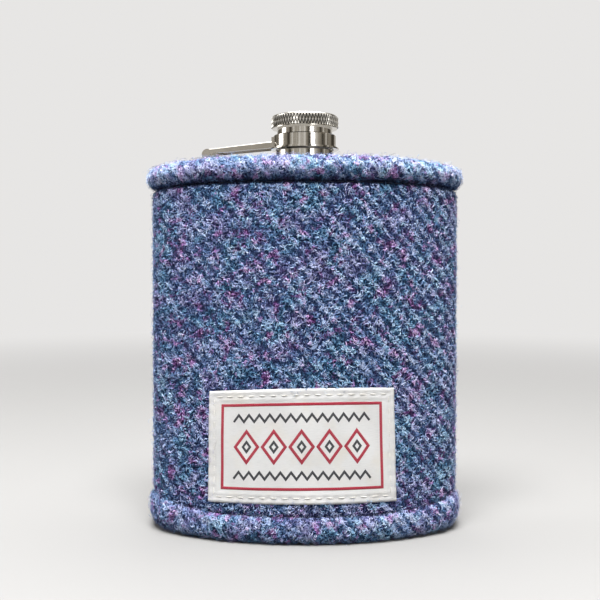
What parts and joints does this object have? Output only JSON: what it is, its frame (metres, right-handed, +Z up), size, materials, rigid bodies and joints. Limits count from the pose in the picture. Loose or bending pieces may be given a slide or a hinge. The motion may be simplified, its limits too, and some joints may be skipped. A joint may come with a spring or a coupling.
{
  "type": "hip flask",
  "caption": "Bowed steel hip flask in a rolled-edge tweed sleeve, with a knurled screw cap held captive by a swivel ring on a hinged arm.",
  "frame": {"origin": "on the floor, in the middle of the sleeve's box", "axes": "+Z up along the neck, +X across the flask's width, -Y out of the bowed front that carries the label"},
  "size_m": [0.1026, 0.0388, 0.1318],
  "materials": {
    "flask_steel": "satin",
    "neck_steel": "turned and threaded",
    "polished_steel": "mirror polished",
    "knurled_steel": "diamond knurled and polished",
    "spring_steel": "satin",
    "gasket_rubber": "matte",
    "lining_cloth": "plain woven",
    "tweed": "fuzzy wool twill in blues, lilac and pink",
    "label_cloth": null
  },
  "bodies": {
    "flask": {"body_wall": "flask_steel", "top_plate": "flask_steel", "bottom_plate": "flask_steel", "neck": "neck_steel", "neck_collar": "polished_steel", "hinge_bracket": "polished_steel", "lining": "lining_cloth", "tweed_wall": "tweed", "top_binding": "tweed", "bottom_binding": "tweed", "base_panel": "tweed", "label": "label_cloth"},
    "arm": {"arm": "polished_steel", "hinge_pin": "polished_steel", "swivel_ring": "polished_steel"},
    "clip": {"retaining_clip": "spring_steel"},
    "cap": {"cap_head": "knurled_steel", "cap_barrel": "polished_steel", "cap_gasket": "gasket_rubber"}
  },
  "joints": [
    {"name": "arm_swing", "type": "hinge", "parent": "flask", "child": "arm", "pos_m": [-0.03046, 0.00168, 0.1203], "axis": [-0.2019, -0.9794, 0], "range_deg": [0, 130]},
    {"name": "cap_lift", "type": "slide", "parent": "arm", "child": "clip", "axis": [0, 0, 1], "range_m": [0, 0.0028]},
    {"name": "cap_turn", "type": "hinge", "parent": "clip", "child": "cap", "pos_m": [0, -0.0046, 0.1269], "axis": [0, 0, 1], "range_deg": [0, 670]}
  ],
  "couplings": [
    {"joint": "cap_lift", "follows": "cap_turn", "m_per_rad": 0.00023873}
  ]
}
